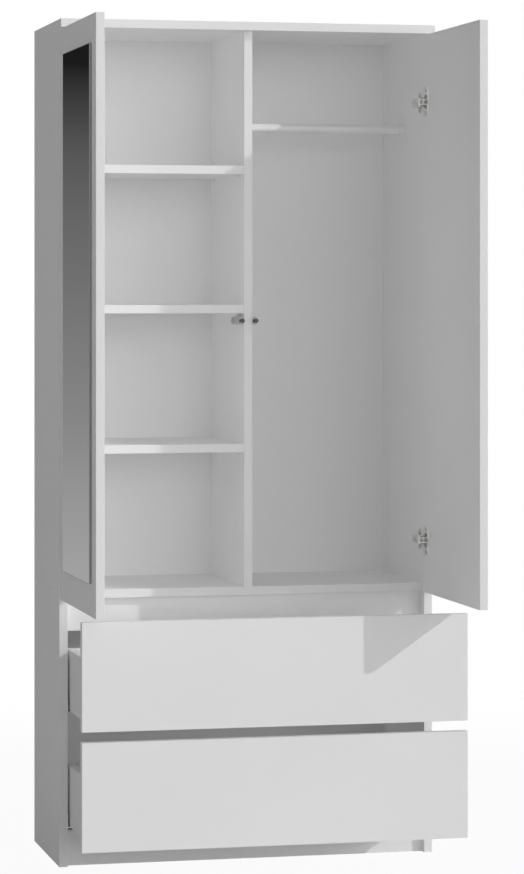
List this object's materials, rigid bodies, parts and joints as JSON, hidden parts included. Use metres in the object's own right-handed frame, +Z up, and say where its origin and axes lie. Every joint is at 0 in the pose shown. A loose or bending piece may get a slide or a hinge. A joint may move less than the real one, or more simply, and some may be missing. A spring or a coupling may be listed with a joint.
{
  "type": "wardrobe",
  "caption": "Tall white wardrobe on a drawer base, with two hinged doors, a long mirror on one of them, open shelves on one side and a hanging rod on the other.",
  "frame": {"origin": "on the floor, in the middle of the width, at the rear face of the back panels, which goes against the wall", "axes": "+X to the viewer's right when facing the doors, +Y to the rear, towards the wall, +Z up; the fronts face -Y"},
  "size_m": [0.8253, 0.745, 1.8],
  "materials": {
    "white_laminate": "satin white melamine foil on particle board",
    "white_hardboard": "thin hardboard, one white face",
    "white_enamel": "gloss white enamel on steel",
    "white_plastic": "white moulded plastic",
    "nickelled_steel": "nickel plated steel",
    "zinc_screws": "zinc plated steel",
    "cast_zinc": "die-cast zinc alloy",
    "beech": "plain beech",
    "grey_plastic": "grey moulded plastic",
    "galvanised_steel": "galvanised sheet steel",
    "mirror_glass": "silvered flat glass",
    "foam_tape": "black foam mounting tape"
  },
  "bodies": {
    "cabinet": {"lower_left_side": "white_laminate", "lower_right_side": "white_laminate", "base_panel": "white_laminate", "kick_rail": "white_laminate", "drawer_rail": "white_laminate", "middle_panel": "white_laminate", "lower_back_panel": "white_hardboard", "upper_left_side": "white_laminate", "upper_right_side": "white_laminate", "top_panel": "white_laminate", "divider": "white_laminate", "upper_shelf": "white_laminate", "centre_shelf": "white_laminate", "lower_shelf": "white_laminate", "upper_back_panel": "white_hardboard", "hanging_rod": "white_enamel", "rod_sockets": "white_plastic", "shelf_pins": "nickelled_steel", "hinge_plates": "nickelled_steel", "hinge_arms": "nickelled_steel", "cabinet_screws": "zinc_screws", "latch_housings": "grey_plastic", "upper_cabinet_runners": "galvanised_steel", "lower_cabinet_runners": "galvanised_steel", "cam_locks": "cast_zinc", "dowels": "beech", "carcass_screws": "zinc_screws", "back_panel_nails": "zinc_screws"},
    "left_door": {"left_door_panel": "white_laminate", "mirror_glass": "mirror_glass", "mirror_tape": "foam_tape", "left_hinge_cups": "nickelled_steel", "left_cup_screws": "zinc_screws", "left_strike_plate": "white_enamel"},
    "right_door": {"right_door_panel": "white_laminate", "right_hinge_cups": "nickelled_steel", "right_cup_screws": "zinc_screws", "right_strike_plate": "white_enamel"},
    "left_outer_link": {"left_outer_links": "nickelled_steel"},
    "left_inner_link": {"left_inner_links": "nickelled_steel"},
    "left_plunger": {"left_latch_plunger": "grey_plastic"},
    "right_outer_link": {"right_outer_links": "nickelled_steel"},
    "right_inner_link": {"right_inner_links": "nickelled_steel"},
    "right_plunger": {"right_latch_plunger": "grey_plastic"},
    "upper_drawer": {"upper_drawer_front": "white_laminate", "upper_drawer_left_side": "white_laminate", "upper_drawer_right_side": "white_laminate", "upper_drawer_back": "white_laminate", "upper_drawer_bottom": "white_hardboard", "upper_drawer_runners": "galvanised_steel", "upper_drawer_fittings": "zinc_screws"},
    "upper_middle_rail": {"upper_middle_rails": "galvanised_steel"},
    "lower_drawer": {"lower_drawer_front": "white_laminate", "lower_drawer_left_side": "white_laminate", "lower_drawer_right_side": "white_laminate", "lower_drawer_back": "white_laminate", "lower_drawer_bottom": "white_hardboard", "lower_drawer_runners": "galvanised_steel", "lower_drawer_fittings": "zinc_screws"},
    "lower_middle_rail": {"lower_middle_rails": "galvanised_steel"}
  },
  "joints": [
    {"name": "left_door_hinge", "type": "hinge", "parent": "cabinet", "child": "left_door", "pos_m": [-0.40115, -0.34485, 1.1738], "axis": [0, 0, 1], "range_deg": [-5, 90]},
    {"name": "left_outer_link_pivot", "type": "hinge", "parent": "cabinet", "child": "left_outer_link", "pos_m": [-0.3805, -0.3406, 1.1738], "axis": [0, 0, 1], "range_deg": [-31.3, 1.9]},
    {"name": "left_inner_link_pivot", "type": "hinge", "parent": "cabinet", "child": "left_inner_link", "pos_m": [-0.3845, -0.331, 1.1738], "axis": [0, 0, 1], "range_deg": [-8.1, 0.6]},
    {"name": "left_plunger_slide", "type": "slide", "parent": "cabinet", "child": "left_plunger", "axis": [0, 1, 0], "range_m": [-0.001, 0.0142]},
    {"name": "right_door_hinge", "type": "hinge", "parent": "cabinet", "child": "right_door", "pos_m": [0.40115, -0.34485, 1.1738], "axis": [0, 0, -1], "range_deg": [-5, 90]},
    {"name": "right_outer_link_pivot", "type": "hinge", "parent": "cabinet", "child": "right_outer_link", "pos_m": [0.3805, -0.3406, 1.1738], "axis": [0, 0, -1], "range_deg": [-31.3, 1.9]},
    {"name": "right_inner_link_pivot", "type": "hinge", "parent": "cabinet", "child": "right_inner_link", "pos_m": [0.3845, -0.331, 1.1738], "axis": [0, 0, -1], "range_deg": [-8.1, 0.6]},
    {"name": "right_plunger_slide", "type": "slide", "parent": "cabinet", "child": "right_plunger", "axis": [0, 1, 0], "range_m": [-0.001, 0.0142]},
    {"name": "upper_drawer_slide", "type": "slide", "parent": "cabinet", "child": "upper_drawer", "axis": [0, -1, 0], "range_m": [-0.247, 0]},
    {"name": "upper_middle_rail_slide", "type": "slide", "parent": "cabinet", "child": "upper_middle_rail", "axis": [0, -1, 0], "range_m": [-0.1235, 0]},
    {"name": "lower_drawer_slide", "type": "slide", "parent": "cabinet", "child": "lower_drawer", "axis": [0, -1, 0], "range_m": [-0.247, 0]},
    {"name": "lower_middle_rail_slide", "type": "slide", "parent": "cabinet", "child": "lower_middle_rail", "axis": [0, -1, 0], "range_m": [-0.1235, 0]}
  ],
  "couplings": [
    {"joint": "left_outer_link_pivot", "follows": "left_door_hinge", "ratio": -0.34617},
    {"joint": "left_inner_link_pivot", "follows": "left_door_hinge", "ratio": -0.08881},
    {"joint": "left_plunger_slide", "follows": "left_door_hinge", "m_per_rad": 0.008913},
    {"joint": "right_outer_link_pivot", "follows": "right_door_hinge", "ratio": -0.34617},
    {"joint": "right_inner_link_pivot", "follows": "right_door_hinge", "ratio": -0.08881},
    {"joint": "right_plunger_slide", "follows": "right_door_hinge", "m_per_rad": 0.008913},
    {"joint": "upper_middle_rail_slide", "follows": "upper_drawer_slide", "ratio": 0.5},
    {"joint": "lower_middle_rail_slide", "follows": "lower_drawer_slide", "ratio": 0.5}
  ]
}
